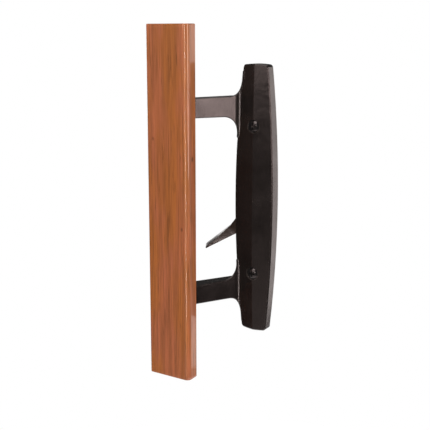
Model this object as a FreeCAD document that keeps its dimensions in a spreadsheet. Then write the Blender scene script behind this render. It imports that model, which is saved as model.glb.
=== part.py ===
"""Inside half of a sliding door handle set.

A die-cast plate with two slanted arms carries a wooden grip beside and in front of it. A latch
lever turns in the plate about the door's normal and drives a flat bar that enters the lock.
X runs across the plate, Y into the door and Z up. The origin is on the door's face, on the
lever's axis and midway between the mounting screws.
"""
import FreeCAD, Part
import math
import os
import re
import Sketcher
from FreeCAD import Vector

# Driving sizes, in millimetres and degrees
SIZES = {
    # Plate
    "plate_height": 181.0,
    "plate_width": 28.4,
    "plate_end_width": 18.4,
    "plate_end_arch": 0.7,
    "plate_corner_radius": 2.5,
    "plate_edge": 0.7,
    "ridge_height": 10.0,
    "ridge_drop": 2.0,
    "ridge_radius": 3.0,
    "facet_angle": 8.0,
    "wall": 2.2,
    "rib_thickness": 1.6,
    "rib_recess": 1.0,
    # Mounting screws
    "screw_spacing": 100.0,
    "screw_shank": 3.6,
    "screw_thread": 4.2,
    "screw_shoulder": 0.5,
    "screw_bore": 4.8,
    "screw_boss": 11.0,
    "screw_head": 8.2,
    "screw_head_seat": 1.0,
    "screw_head_dome": 1.6,
    "screw_head_margin": 0.35,
    "countersink_angle": 82.0,
    "screw_reach": 17.0,
    "screw_cross_width": 1.1,
    "screw_cross_length": 4.6,
    "screw_cross_depth": 1.9,
    # Arms
    "arm_spacing": 125.0,
    "arm_root_height": 13.9,
    "arm_foot_height": 12.9,
    "arm_root_thickness": 7.4,
    "arm_root_blend": 6.0,
    "arm_back_radius": 4.0,
    "arm_outer_fillet": 13.0,
    "arm_inner_fillet": 11.0,
    "fillet_reach": 1.25,
    "arm_edge": 0.6,
    "arm_wall": 2.4,
    "arm_flange": 1.9,
    "arm_core_start": 13.0,
    "foot_width": 19.4,
    "foot_land": 8.0,
    "foot_web": 4.0,
    "land_radius": 0.8,
    "root_gap": 1.2,
    "root_sink": 0.4,
    "flare_sink": 1.3,
    # Grip
    "grip_length": 231.5,
    "grip_width": 31.0,
    "grip_thickness": 10.1,
    "grip_arris": 1.2,
    "grip_edge_radius": 2.0,
    "grip_end_arris": 0.5,
    "grip_offset": 37.3,
    "grip_standoff": 44.0,
    # Grip screws
    "grip_screw_shank": 3.8,
    "grip_screw_head": 6.8,
    "grip_screw_head_height": 2.2,
    "grip_screw_bite": 8.0,
    "grip_screw_fit": 0.05,
    "grip_screw_bore": 4.2,
    # Lever
    "lever_rest": 52.0,
    "lever_length": 48.5,
    "lever_neck_width": 7.2,
    "lever_tip_width": 3.8,
    "lever_tip_offset": 8.2,
    "lever_tip_rise": 8.6,
    "lever_tip_depth": 6.4,
    "lever_tip_radius": 1.0,
    "lever_tip_shoulder": 2.0,
    "lever_sweep_radius": 10.0,
    "lever_tilt": 14.0,
    "notch_clearance": 0.4,
    "hub_diameter": 16.0,
    "hub_thickness": 3.3,
    "hub_front": 5.4,
    "front_journal": 6.0,
    "front_journal_length": 1.8,
    "rear_journal": 10.0,
    "bearing_clearance": 0.05,
    "end_float": 0.1,
    "pivot_boss": 18.0,
    "pivot_bore_spare": 0.3,
    # Washers
    "spring_washer_bore": 6.8,
    "spring_washer_width": 12.5,
    "spring_washer_thickness": 0.35,
    "spring_washer_height": 0.7,
    "thrust_washer_bore": 10.5,
    "thrust_washer_width": 15.6,
    "thrust_washer_thickness": 0.4,
    # Retaining plate and its screws
    "retainer_thickness": 1.2,
    "retainer_width": 11.0,
    "retainer_eye": 18.0,
    "retainer_spacing": 40.0,
    "retainer_end": 4.5,
    "retainer_boss": 7.0,
    "retainer_screw_shank": 2.5,
    "retainer_screw_head": 4.7,
    "retainer_screw_length": 5.6,
    # Tailpiece
    "tailpiece_width": 6.0,
    "tailpiece_thickness": 1.6,
    "tailpiece_reach": 18.0,
    "tailpiece_floor": 0.6,
    "tailpiece_tip_chamfer": 1.2,
    "tailpiece_pin": 1.6,
    "tailpiece_pin_spare": 0.6,
    "slot_clearance": 0.05,
}

# How near two places are taken as one, in millimetres
TOUCH = 0.01

# Sizes worked out from the driving ones
DERIVED = {
    "side_half": "plate_height / 2 - plate_end_arch",
    "side_bulge": "(plate_width - plate_end_width) / 2",
    "side_radius": "(side_half^2 + side_bulge^2) / (2 * side_bulge)",
    "crown_radius": "(plate_height / 2)^2 / (2 * ridge_drop) + ridge_drop / 2",
    "arm_level": "arm_spacing / 2",
    "root_side": "plate_width / 2 - side_radius + sqrt(side_radius^2 - arm_level^2)",
    "root_crown": "crown_radius - sqrt(crown_radius^2 - arm_level^2)",
    "root_front": "ridge_height - root_crown - root_side * tan(facet_angle) - root_sink",
    "land_side": "grip_offset - foot_width / 2",
    "land_front": "grip_standoff - foot_land",
    "foot_side": "grip_offset + foot_width / 2",
    "arm_lean": "atan((land_side - root_side) / (land_front - root_front)) / 1deg",
    "land_run": "(land_side - root_side) / sin(arm_lean)",
    "arm_run": "(foot_side - root_side + wall) / sin(arm_lean)",
    "arm_taper": "(arm_root_height - arm_foot_height) / 2 / land_run",
    "root_slope": "arm_level / sqrt(side_radius^2 - arm_level^2) / sin(arm_lean)",
    "hub_back": "hub_front - hub_thickness",
    "hub_middle": "(hub_front + hub_back) / 2",
    "lever_neck_end": "plate_width / 2 / cos(lever_rest) + lever_neck_width / 2 * tan(lever_rest)",
    "sweep_height": "lever_tip_rise + lever_tip_depth - hub_thickness",
    "sweep_angle": "atan(sweep_height / (lever_length - lever_neck_end)) / 1deg",
    "sweep_run": "lever_sweep_radius * tan(sweep_angle / 2)",
    "sweep_lift": "lever_sweep_radius - sqrt(lever_sweep_radius^2 - sweep_run^2)",
    "strap_front": "hub_back - end_float - thrust_washer_thickness",
    "strap_back": "strap_front - retainer_thickness",
    "pivot_ledge": "hub_front + end_float + spring_washer_height",
    "screw_crown": "crown_radius - sqrt(crown_radius^2 - screw_spacing^2 / 4)",
    "screw_seat": "ridge_height - screw_crown - screw_head_seat",
    "screw_neck": "screw_seat - (screw_head - screw_shank) / 2 / tan(countersink_angle / 2)",
    "screw_crest": "screw_seat + screw_head_dome",
    "dome_radius": "(screw_head / 2)^2 / (2 * screw_head_dome) + screw_head_dome / 2",
    "dome_flat": "screw_head / 8",
    "dome_step": "screw_head / 3",
    "dome_fall": "dome_radius - sqrt(dome_radius^2 - dome_step^2)",
}

doc = FreeCAD.newDocument("door_handle_set")
sheet = doc.addObject("Spreadsheet::Sheet", "sizes")
rows = [(alias, str(size)) for alias, size in SIZES.items()]
rows += [(alias, f"={formula}") for alias, formula in DERIVED.items()]
for row, (alias, content) in enumerate(rows, start=1):
    sheet.set(f"A{row}", alias.replace("_", " "))
    sheet.set(f"B{row}", content)
    sheet.setAlias(f"B{row}", alias)
doc.recompute()

ALIAS = re.compile(r"\b(" + "|".join(alias for alias, content in rows) + r")\b")


def bound(text):
    """An expression in the sheet's names, as an object of the document reads it."""
    return ALIAS.sub(r"sizes.\1", text)


def number(text):
    """The value that an expression has now."""
    result = sheet.evalExpression(text)
    return float(getattr(result, "Value", result))


def bind(thing, **properties):
    """Bind properties of an object to expressions in the sheet's names."""
    for name, text in properties.items():
        thing.setExpression(name, bound(text))


def place(thing, x="0", y="0", z="0", yaw="0", pitch="0", roll="0"):
    """Bind an object's placement to expressions."""
    text = f"create(<<placement>>; create(<<vector>>; {x}; {y}; {z}); "
    text += f"create(<<rotation>>; {yaw}; {pitch}; {roll}))"
    thing.setExpression("Placement", bound(text))
    return thing


def cylinder(name, diameter, length, **where):
    """A cylinder along its own Z axis."""
    solid = doc.addObject("Part::Cylinder", name)
    bind(solid, Radius=f"({diameter}) / 2", Height=length)
    return place(solid, **where)


def peg(name, diameter, front, back, x="0", z="0"):
    """A cylinder along Y, from one distance in front of the door's face to another."""
    return cylinder(name, diameter, f"({front}) - ({back})", x=x, y=f"-({front})", z=z, roll="-90")


def cone(name, front_diameter, back_diameter, front, back, x="0", z="0"):
    """A cone along Y, from one distance in front of the door's face to another."""
    solid = doc.addObject("Part::Cone", name)
    bind(solid, Radius1=f"({front_diameter}) / 2", Radius2=f"({back_diameter}) / 2")
    bind(solid, Height=f"({front}) - ({back})")
    return place(solid, x=x, y=f"-({front})", z=z, roll="-90")


def block(name, x, y, z):
    """A box between the two bounds given for each axis."""
    solid = doc.addObject("Part::Box", name)
    spans = [f"({high}) - ({low})" for low, high in (x, y, z)]
    bind(solid, Length=spans[0], Width=spans[1], Height=spans[2])
    return place(solid, x=x[0], y=y[0], z=z[0])


def fused(name, *solids):
    result = doc.addObject("Part::MultiFuse", name)
    result.Shapes = list(solids)
    return result


def shared(name, *solids):
    result = doc.addObject("Part::MultiCommon", name)
    result.Shapes = list(solids)
    return result


def cut(name, base, tool):
    result = doc.addObject("Part::Cut", name)
    result.Base = base
    result.Tool = tool
    return result


def mirrored(name, source):
    """The copy of a solid below the plate's middle."""
    result = doc.addObject("Part::Mirroring", name)
    result.Source = source
    result.Normal = Vector(0, 0, 1)
    return result


def group(name, *solids):
    """Like pieces kept as separate solids under one name."""
    result = doc.addObject("Part::Compound", name)
    result.Links = list(solids)
    return result


def rounded(name, base, radius, chosen):
    """Round the edges of a solid for which a test is true."""
    doc.recompute()
    size = number(radius)
    result = doc.addObject("Part::Fillet", name)
    result.Base = base
    edges = enumerate(base.Shape.Edges, start=1)
    result.Edges = [(index, size, size) for index, edge in edges if chosen(edge)]
    return result


def chamfered(name, base, width, chosen):
    """Chamfer the edges of a solid for which a test is true."""
    doc.recompute()
    size = number(width)
    result = doc.addObject("Part::Chamfer", name)
    result.Base = base
    edges = enumerate(base.Shape.Edges, start=1)
    result.Edges = [(index, size, size) for index, edge in edges if chosen(edge)]
    return result


def pin(sketch, geometry, end, x, y):
    """Hold a point of a sketch at two expressions."""
    for kind, text in (("DistanceX", x), ("DistanceY", y)):
        made = Sketcher.Constraint(kind, -1, 1, geometry, end, number(text))
        index = sketch.addConstraint(made)
        sketch.setExpression(f"Constraints[{index}]", bound(text))


def outline(sketch, corners):
    """Draw a closed outline of straight runs in a sketch.

    Each corner is x, y and a rounding radius or None, and all of them are expressions.
    """
    count = len(corners)
    points = [Vector(number(x), number(y), 0) for x, y, radius in corners]
    starts = list(points)
    ends = list(points)
    arcs = {}
    for index, (x, y, radius) in enumerate(corners):
        if radius is None:
            continue
        back = (points[index - 1] - points[index]).normalize()
        ahead = (points[(index + 1) % count] - points[index]).normalize()
        half = back.getAngle(ahead) / 2
        size = number(radius)
        ends[index] = points[index] + back * (size / math.tan(half))
        starts[index] = points[index] + ahead * (size / math.tan(half))
        centre = points[index] + (back + ahead).normalize() * (size / math.sin(half))
        left_turn = ahead.cross(back).z > 0
        first, last = (ends, starts) if left_turn else (starts, ends)
        turns = [math.atan2(*reversed((spot[index] - centre)[:2])) for spot in (first, last)]
        circle = Part.Circle(centre, Vector(0, 0, 1), size)
        arcs[index] = (Part.ArcOfCircle(circle, *turns), left_turn)
    lines = []
    for index in range(count):
        following = (index + 1) % count
        lines.append(sketch.addGeometry(Part.LineSegment(starts[index], ends[following])))
    for index, (x, y, radius) in enumerate(corners):
        before = lines[index - 1]
        after = lines[index]
        if radius is None:
            sketch.addConstraint(Sketcher.Constraint("Coincident", before, 2, after, 1))
            pin(sketch, after, 1, x, y)
            continue
        spot = sketch.addGeometry(Part.Point(points[index]), True)
        pin(sketch, spot, 1, x, y)
        sketch.addConstraint(Sketcher.Constraint("PointOnObject", spot, 1, before))
        sketch.addConstraint(Sketcher.Constraint("PointOnObject", spot, 1, after))
        arc, left_turn = arcs[index]
        curve = sketch.addGeometry(arc)
        first, last = (1, 2) if left_turn else (2, 1)
        sketch.addConstraint(Sketcher.Constraint("Tangent", before, 2, curve, first))
        sketch.addConstraint(Sketcher.Constraint("Tangent", curve, last, after, 1))
        size = sketch.addConstraint(Sketcher.Constraint("Radius", curve, number(radius)))
        sketch.setExpression(f"Constraints[{size}]", bound(radius))


def extruded(name, sketch, direction, ahead, behind):
    """A sketch extruded both ways along a direction."""
    solid = doc.addObject("Part::Extrusion", name)
    solid.Base = sketch
    solid.DirMode = "Custom"
    solid.Solid = True
    solid.Dir = Vector(*[number(text) for text in direction])
    for axis, text in zip("xyz", direction):
        solid.setExpression(f"Dir.{axis}", bound(text))
    bind(solid, LengthFwd=ahead, LengthRev=behind)
    return solid


def prism(name, corners, direction, ahead, behind, **where):
    """A closed outline in a placed sketch, extruded both ways along a direction."""
    sketch = doc.addObject("Sketcher::SketchObject", f"{name}_outline")
    place(sketch, **where)
    outline(sketch, corners)
    return extruded(name, sketch, direction, ahead, behind)


def turned(name, corners):
    """A profile beside the Y axis, given as radius and Y, turned about that axis."""
    body = doc.addObject("PartDesign::Body", name)
    plane = next(item for item in body.Origin.OriginFeatures if item.Role == "XY_Plane")
    sketch = body.newObject("Sketcher::SketchObject", f"{name}_profile")
    sketch.AttachmentSupport = [(plane, "")]
    sketch.MapMode = "FlatFace"
    outline(sketch, corners)
    doc.recompute()
    turn = body.newObject("PartDesign::Revolution", f"{name}_turn")
    turn.Profile = sketch
    turn.ReferenceAxis = (sketch, ["V_Axis"])
    turn.Angle = 360
    return body


def plate_outline(name, inset):
    """The plate's outline in its front view: four arcs, bulging at the sides and arched at the ends."""
    side = f"(plate_end_width / 2 - {inset})"
    end = f"(side_half - {inset})"
    bulge = "side_bulge"
    arch = "plate_end_arch"
    sketch = doc.addObject("Sketcher::SketchObject", f"{name}_outline")
    place(sketch, roll="90")
    corners = [(side, f"-{end}"), (side, end), (f"-{side}", end), (f"-{side}", f"-{end}")]
    crests = [(f"{side} + {bulge}", "0"), ("0", f"{end} + {arch}")]
    crests += [(f"-{side} - {bulge}", "0"), ("0", f"-{end} - {arch}")]
    radii = [f"({end}^2 + {bulge}^2) / (2 * {bulge})", f"({side}^2 + {arch}^2) / (2 * {arch})"]
    spots = [Vector(number(x), number(y), 0) for x, y in corners]
    tops = [Vector(number(x), number(y), 0) for x, y in crests]
    curves = []
    for index in range(4):
        arc = Part.Arc(spots[index], tops[index], spots[(index + 1) % 4])
        curves.append(sketch.addGeometry(arc))
    for index, (x, y) in enumerate(corners):
        joint = Sketcher.Constraint("Coincident", curves[index - 1], 2, curves[index], 1)
        sketch.addConstraint(joint)
        pin(sketch, curves[index], 1, x, y)
        radius = radii[index % 2]
        size = sketch.addConstraint(Sketcher.Constraint("Radius", curves[index], number(radius)))
        sketch.setExpression(f"Constraints[{size}]", bound(radius))
    return sketch


def facet(name, inset, lean):
    """A crowned slab whose front leans across the plate, deep and wide enough to hold it."""
    reach = "(plate_height / 2 + wall)"
    crest = f"({inset} / cos(facet_angle) - ridge_height)"
    fall = f"({crest} + crown_radius - sqrt(crown_radius^2 - {reach}^2))"
    sketch = doc.addObject("Sketcher::SketchObject", f"{name}_outline")
    place(sketch, yaw="90", roll="90")
    corners = [(fall, f"-{reach}"), ("plate_width", f"-{reach}"), ("plate_width", reach), (fall, reach)]
    spots = [Vector(number(x), number(y), 0) for x, y in corners]
    curves = [sketch.addGeometry(Part.LineSegment(spots[index], spots[index + 1])) for index in range(3)]
    crown = Part.Arc(spots[3], Vector(number(crest), 0, 0), spots[0])
    curves.append(sketch.addGeometry(crown))
    turned_over = sketch.Geometry[curves[3]].StartPoint.isEqual(spots[0], TOUCH)
    for index in range(3):
        pin(sketch, curves[index], 1, *corners[index])
    pin(sketch, curves[2], 2, *corners[3])
    first, last = (1, 2) if turned_over else (2, 1)
    sketch.addConstraint(Sketcher.Constraint("Coincident", curves[0], 2, curves[1], 1))
    sketch.addConstraint(Sketcher.Constraint("Coincident", curves[1], 2, curves[2], 1))
    sketch.addConstraint(Sketcher.Constraint("Coincident", curves[2], 2, curves[3], last))
    sketch.addConstraint(Sketcher.Constraint("Coincident", curves[3], first, curves[0], 1))
    size = sketch.addConstraint(Sketcher.Constraint("Radius", curves[3], number("crown_radius")))
    sketch.setExpression(f"Constraints[{size}]", bound("crown_radius"))
    across = (f"cos({lean})", f"sin({lean})", "0")
    return extruded(name, sketch, across, "plate_width", "plate_width")


def plate_form(name, inset, back):
    """The crowned form of the plate, inset all round, from its front to a depth at the back.

    Two facets, each crowned from end to end, meet in the ridge down its middle.
    """
    sketch = plate_outline(name, inset)
    slab = extruded(f"{name}_slab", sketch, ("0", "1", "0"), back, "ridge_height + wall")
    right = facet(f"{name}_right", inset, "facet_angle")
    left = facet(f"{name}_left", inset, "-facet_angle")
    return shared(name, slab, right, left)


def along_y(edge):
    box = edge.BoundBox
    return box.XLength < TOUCH and box.ZLength < TOUCH


def on_ridge(edge):
    box = edge.BoundBox
    return abs(box.XMin) < TOUCH and abs(box.XMax) < TOUCH


def on_front_rim(edge):
    """Edges round the front, without those that run down the ridge or into the door."""
    box = edge.BoundBox
    down_ridge = box.XLength < number("ridge_radius") and box.ZLength > number("plate_height / 2")
    return box.YMax < -number("wall") / 2 and not down_ridge and not along_y(edge)


def make_plate():
    """The solid form of the plate, with rounded corners and front rim."""
    form = plate_form("plate_form", "0", "0")
    corners = rounded("plate_corners", form, "plate_corner_radius", along_y)
    crest = rounded("plate_ridge", corners, "ridge_radius", on_ridge)
    return chamfered("plate_rim", crest, "plate_edge", on_front_rim)


def along_arm(run, inset):
    """A point in plan at a run along the arm's near face and an inset behind it."""
    x = f"(-root_side - ({run}) * sin(arm_lean) - ({inset}) * cos(arm_lean))"
    y = f"(-root_front - ({run}) * cos(arm_lean) + ({inset}) * sin(arm_lean))"
    return x, y


def arm_prism(name, corners):
    """A side view of the arm, drawn on its near face and extruded along Y."""
    x, y = along_arm("0", "0")
    where = {"x": x, "y": y, "z": "arm_level", "yaw": "-90 - arm_lean", "roll": "90"}
    return prism(name, corners, ("0", "1", "0"), "grip_standoff", "grip_standoff", **where)


def arm_plan(name, corners):
    """A plan of the arm, extruded along Z."""
    return prism(name, corners, ("0", "0", "1"), "arm_spacing", "0")


def on_arm_rim(edge):
    """Long edges of the arm's near face, clear of the plate and of the foot's seat."""
    box = edge.BoundBox
    clear = box.XMax < -number("root_side + arm_edge")
    seat = box.YMax < TOUCH - number("grip_standoff")
    upright = box.XLength < TOUCH and box.YLength < TOUCH
    middle = edge.valueAt((edge.FirstParameter + edge.LastParameter) / 2)
    lean = math.radians(number("arm_lean"))
    side = -(middle.x + number("root_side")) * math.cos(lean)
    inset = side + (middle.y + number("root_front")) * math.sin(lean)
    near = inset < number("arm_root_thickness / 4")
    return clear and near and not seat and not upright


def make_arm():
    """The upper arm, with its flared root, cored far side and foot."""
    inner_x = "(-root_side + 1.5 * wall)"
    buried_x = "(-root_side + arm_root_blend)"
    buried_y = "(-root_front - arm_root_blend * tan(facet_angle))"
    plan = arm_plan("arm_plan", [
        (inner_x, "-root_gap", None),
        (buried_x, "-root_gap - wall", None),
        (buried_x, buried_y, None),
        (*along_arm("0", "0"), "arm_root_blend"),
        ("-land_side", "-land_front", "land_radius"),
        ("-land_side", "-grip_standoff", None),
        ("-foot_side", "-grip_standoff", None),
        (*along_arm("0", "arm_root_thickness"), "arm_back_radius"),
    ])
    half = "arm_root_height / 2"
    outer = f"({half} + fillet_reach * arm_outer_fillet)"
    inner = f"({half} + fillet_reach * arm_inner_fillet)"
    deep = "(-4 * wall)"
    tip = f"({half} - arm_taper * arm_run)"
    side = arm_prism("arm_side", [
        (deep, outer, None),
        (deep, f"-{inner}", None),
        (f"root_slope * {inner} - flare_sink", f"-{inner}", None),
        (f"root_slope * {half} - flare_sink", f"-{half}", "arm_inner_fillet"),
        ("arm_run", f"-{tip}", None),
        ("arm_run", tip, None),
        (f"-root_slope * {half} - flare_sink", half, "arm_outer_fillet"),
        (f"-root_slope * {outer} - flare_sink", outer, None),
    ])
    blank = shared("arm_blank", plan, side)
    smooth = chamfered("arm_smooth", blank, "arm_edge", on_arm_rim)
    near_end = along_arm("arm_core_start", "arm_wall")
    far_end = along_arm("arm_core_start", "2 * foot_width")
    bend_x = "(-land_side - arm_wall)"
    bend_run = f"((-root_side - arm_wall * cos(arm_lean) - {bend_x}) / sin(arm_lean))"
    bend = along_arm(bend_run, "arm_wall")
    floor = "(foot_web - grip_standoff)"
    core_plan = arm_plan("core_plan", [
        (*near_end, None),
        (*far_end, None),
        ("-foot_side - foot_width", floor, None),
        (bend_x, floor, None),
        (*bend, None),
    ])
    core_half = f"({half} - arm_flange)"
    core_tip = f"({tip} - arm_flange)"
    core_side = arm_prism("core_side", [
        ("0", f"-{core_half}", None),
        ("arm_run", f"-{core_tip}", None),
        ("arm_run", core_tip, None),
        ("0", core_half, None),
    ])
    core = shared("arm_core", core_plan, core_side)
    front = "(grip_standoff + wall)"
    back = "(grip_standoff - foot_web - wall)"
    hole = peg("arm_hole", "grip_screw_bore", front, back, x="-grip_offset", z="arm_level")
    return cut("arm_upper", smooth, fused("arm_hollow", core, hole))


def make_bosses():
    """Everything inside the plate: screw bosses, pivot boss, strap bosses and ribs."""
    made = []
    for end, sign in (("upper", "1"), ("lower", "-1")):
        screw_z = f"{sign} * screw_spacing / 2"
        strap_z = f"{sign} * retainer_spacing / 2"
        made.append(peg(f"screw_boss_{end}", "screw_boss", "ridge_height", "0", z=screw_z))
        made.append(peg(f"strap_boss_{end}", "retainer_boss", "ridge_height", "strap_front", z=strap_z))
        across = ("-plate_width / 2", "plate_width / 2")
        depth = ("-ridge_height", "-rib_recess")
        thick = (f"{screw_z} - rib_thickness / 2", f"{screw_z} + rib_thickness / 2")
        made.append(block(f"cross_rib_{end}", across, depth, thick))
        low = f"{screw_z} + ({sign} - 1) * plate_height / 4"
        high = f"{screw_z} + ({sign} + 1) * plate_height / 4"
        along = ("-rib_thickness / 2", "rib_thickness / 2")
        made.append(block(f"spine_rib_{end}", along, depth, (low, high)))
    made.append(peg("pivot_seat", "pivot_boss", "ridge_height", "pivot_ledge"))
    return fused("bosses", *made)


def make_bores():
    """Every hole in the plate, and the notch that the lever swings in."""
    made = []
    for end, sign in (("upper", "1"), ("lower", "-1")):
        z = f"{sign} * screw_spacing / 2"
        made.append(peg(f"screw_bore_{end}", "screw_bore", "ridge_height", "-wall", z=z))
        made.append(cone(f"screw_seat_{end}", "screw_head", "screw_shank",
                         "screw_seat", "screw_neck", z=z))
        well = "screw_head + 2 * screw_head_margin"
        made.append(peg(f"screw_well_{end}", well, "ridge_height + wall", "screw_seat", z=z))
        z = f"{sign} * retainer_spacing / 2"
        deep = "(strap_back + retainer_screw_length + pivot_bore_spare)"
        made.append(peg(f"strap_bore_{end}", "retainer_screw_shank", deep, "0", z=z))
    bore = "front_journal + 2 * bearing_clearance"
    deep = "(hub_front + front_journal_length + pivot_bore_spare)"
    made.append(peg("pivot_bore", bore, deep, "0"))
    half = "((plate_width / 2) * tan(lever_rest) + lever_neck_width / 2 / cos(lever_rest)"
    half += " + notch_clearance + hub_thickness / 2 * tan(lever_tilt))"
    edge = ("-plate_width / 2 - wall", "-hub_diameter / 2 - wall")
    depth = ("-hub_front - sweep_lift - notch_clearance", "wall")
    made.append(block("lever_notch", edge, depth, (f"-{half}", half)))
    return fused("bores", *made)


def make_casting():
    """The plate and both arms as one casting, hollow behind."""
    plate = make_plate()
    arm = make_arm()
    solid = fused("casting_solid", plate, arm, mirrored("arm_lower", arm))
    cavity = plate_form("plate_cavity", "wall", "wall")
    shell = cut("casting_shell", solid, cavity)
    within = plate_form("plate_inside", "wall / 2", "0")
    inside = shared("casting_inside", within, make_bosses())
    return cut("base_casting", fused("casting_stiffened", shell, inside), make_bores())


def on_end(edge):
    box = edge.BoundBox
    return box.ZLength < TOUCH and abs(abs(box.ZMin) - number("grip_length / 2")) < TOUCH


def make_grip():
    """The wooden bar, with square-cut ends and blind pilot holes behind."""
    left = "(-grip_offset - grip_width / 2)"
    right = "(grip_width / 2 - grip_offset)"
    front = "(-grip_standoff - grip_thickness)"
    bar = prism("grip_bar", [
        (left, front, "grip_edge_radius"),
        (right, front, "grip_arris"),
        (right, "-grip_standoff", "grip_edge_radius"),
        (left, "-grip_standoff", "grip_edge_radius"),
    ], ("0", "0", "1"), "grip_length / 2", "grip_length / 2")
    smooth = chamfered("grip_smooth", bar, "grip_end_arris", on_end)
    holes = []
    for end, sign in (("upper", "1"), ("lower", "-1")):
        hole = "grip_screw_shank + 2 * grip_screw_fit"
        deep = "grip_standoff + grip_screw_bite + grip_screw_fit"
        z = f"{sign} * arm_spacing / 2"
        holes.append(peg(f"pilot_{end}", hole, deep, "grip_standoff - wall", x="-grip_offset", z=z))
    return cut("wood_grip", smooth, fused("pilots", *holes))


def cross(name, depth, front, x, z):
    """A cross recess sunk from the front of a head, as two crossed slots."""
    arm = "screw_cross_length / 2"
    slit = "screw_cross_width / 2"
    spans = (f"-({front})", f"{depth} - ({front})")
    wide = block(f"{name}_wide", (f"{x} - {arm}", f"{x} + {arm}"), spans, (f"{z} - {slit}", f"{z} + {slit}"))
    tall = block(f"{name}_tall", (f"{x} - {slit}", f"{x} + {slit}"), spans, (f"{z} - {arm}", f"{z} + {arm}"))
    return fused(name, wide, tall)


def make_mounting_screws():
    """Raised countersunk screws that pass through the plate into the door."""
    z = "screw_spacing / 2"
    solid = turned("screw_solid", [
        ("0", "-screw_crest", None),
        ("dome_flat", "-screw_crest", None),
        ("dome_step", "dome_fall - screw_crest", None),
        ("screw_head / 2", "-screw_seat", None),
        ("screw_shank / 2", "-screw_neck", None),
        ("screw_shank / 2", "screw_shoulder", None),
        ("screw_thread / 2", "screw_shoulder", None),
        ("screw_thread / 2", "screw_reach", None),
        ("0", "screw_reach", None),
    ])
    place(solid, z=z)
    recess = cross("screw_cross", "screw_cross_depth", "screw_crest", "0", z)
    upper = cut("mounting_screw_upper", solid, recess)
    return group("mounting_screws", upper, mirrored("mounting_screw_lower", upper))


def make_grip_screws():
    """Pan-head wood screws driven from behind through the arms' feet."""
    where = {"x": "-grip_offset", "z": "arm_level"}
    seat = "(grip_standoff - foot_web)"
    end = "(grip_standoff + grip_screw_bite)"
    head = peg("pan_head", "grip_screw_head", seat, f"{seat} - grip_screw_head_height", **where)
    shank = peg("wood_shank", "grip_screw_shank", end, seat, **where)
    upper = fused("grip_screw_upper", head, shank)
    return group("grip_screws", upper, mirrored("grip_screw_lower", upper))


def make_lever():
    """The cast lever: hub, journals and a blade that leaves by the notch and sweeps forwards."""
    root = "lever_neck_width / 2"
    tip = "lever_tip_width / 2"
    top = "(hub_back + lever_tip_rise)"
    tilted = ("-sin(lever_tilt) * sin(lever_rest)", "cos(lever_tilt)",
              "sin(lever_tilt) * cos(lever_rest)")
    face = prism("lever_face", [
        ("0", f"-{root}", None),
        ("0", root, None),
        ("-lever_neck_end", root, None),
        ("-lever_length", f"lever_tip_offset + {tip}", "lever_tip_shoulder"),
        ("-lever_length", f"lever_tip_offset - {tip}", "lever_tip_radius"),
        ("-lever_neck_end", f"-{root}", None),
    ], tilted, "grip_standoff", "grip_standoff", y="-hub_middle", pitch="-lever_rest", roll="90")
    edge = prism("lever_edge", [
        ("0", "-hub_back", None),
        ("-lever_neck_end", "-hub_back", "lever_sweep_radius"),
        ("-lever_length - wall", f"-{top}", None),
        ("-lever_length - wall", f"-{top} - lever_tip_depth", None),
        ("-lever_neck_end", "-hub_front", "lever_sweep_radius"),
        ("0", "-hub_front", None),
    ], ("-sin(lever_rest)", "0", "cos(lever_rest)"), "hub_diameter", "hub_diameter",
                 pitch="-lever_rest")
    blade = shared("lever_blade", face, edge)
    hub = peg("lever_hub", "hub_diameter", "hub_front", "hub_back")
    nose = peg("lever_nose", "front_journal", "hub_front + front_journal_length", "hub_front")
    tail = peg("lever_tail", "rear_journal", "hub_back", "strap_back")
    solid = fused("lever_solid", blade, hub, nose, tail)
    wide = "(tailpiece_width / 2 + slot_clearance)"
    thick = "(tailpiece_thickness / 2 + slot_clearance)"
    depth = ("tailpiece_floor - hub_front", "wall")
    slot = block("lever_slot", (f"-{thick}", thick), depth, (f"-{wide}", wide))
    hole = cylinder("lever_pin_hole", "tailpiece_pin + 2 * slot_clearance", "hub_diameter + 2 * wall",
                    x="-hub_diameter / 2 - wall", y="-hub_middle", pitch="90")
    return cut("latch_lever", solid, fused("lever_cuts", slot, hole))


def make_tailpiece():
    """The flat bar that the lever turns, chamfered where it enters the lock."""
    half = "tailpiece_width / 2"
    shoulder = "tailpiece_reach - tailpiece_tip_chamfer"
    thick = "tailpiece_thickness / 2"
    bar = prism("tailpiece_bar", [
        ("tailpiece_floor - hub_front", f"-{half}", None),
        (shoulder, f"-{half}", None),
        ("tailpiece_reach", f"tailpiece_tip_chamfer - {half}", None),
        ("tailpiece_reach", f"{half} - tailpiece_tip_chamfer", None),
        (shoulder, half, None),
        ("tailpiece_floor - hub_front", half, None),
    ], ("1", "0", "0"), thick, thick, yaw="90", roll="90")
    hole = cylinder("tailpiece_hole", "tailpiece_pin + 2 * slot_clearance", "hub_diameter",
                    x="-hub_diameter / 2", y="-hub_middle", pitch="90")
    return cut("drive_tailpiece", bar, hole)


def make_tailpiece_pin():
    """The cross pin through the hub and the tailpiece."""
    return cylinder("tailpiece_pin", "tailpiece_pin", "hub_diameter - 2 * tailpiece_pin_spare",
                    x="tailpiece_pin_spare - hub_diameter / 2", y="-hub_middle", pitch="90")


def make_spring_washer():
    """A dished washer that bears on the pivot boss by its rim."""
    bore = "spring_washer_bore / 2"
    rim = "spring_washer_width / 2"
    return turned("spring_washer", [
        (bore, "spring_washer_height - pivot_ledge - spring_washer_thickness", None),
        (rim, "-pivot_ledge", None),
        (rim, "spring_washer_thickness - pivot_ledge", None),
        (bore, "spring_washer_height - pivot_ledge", None),
    ])


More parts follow.
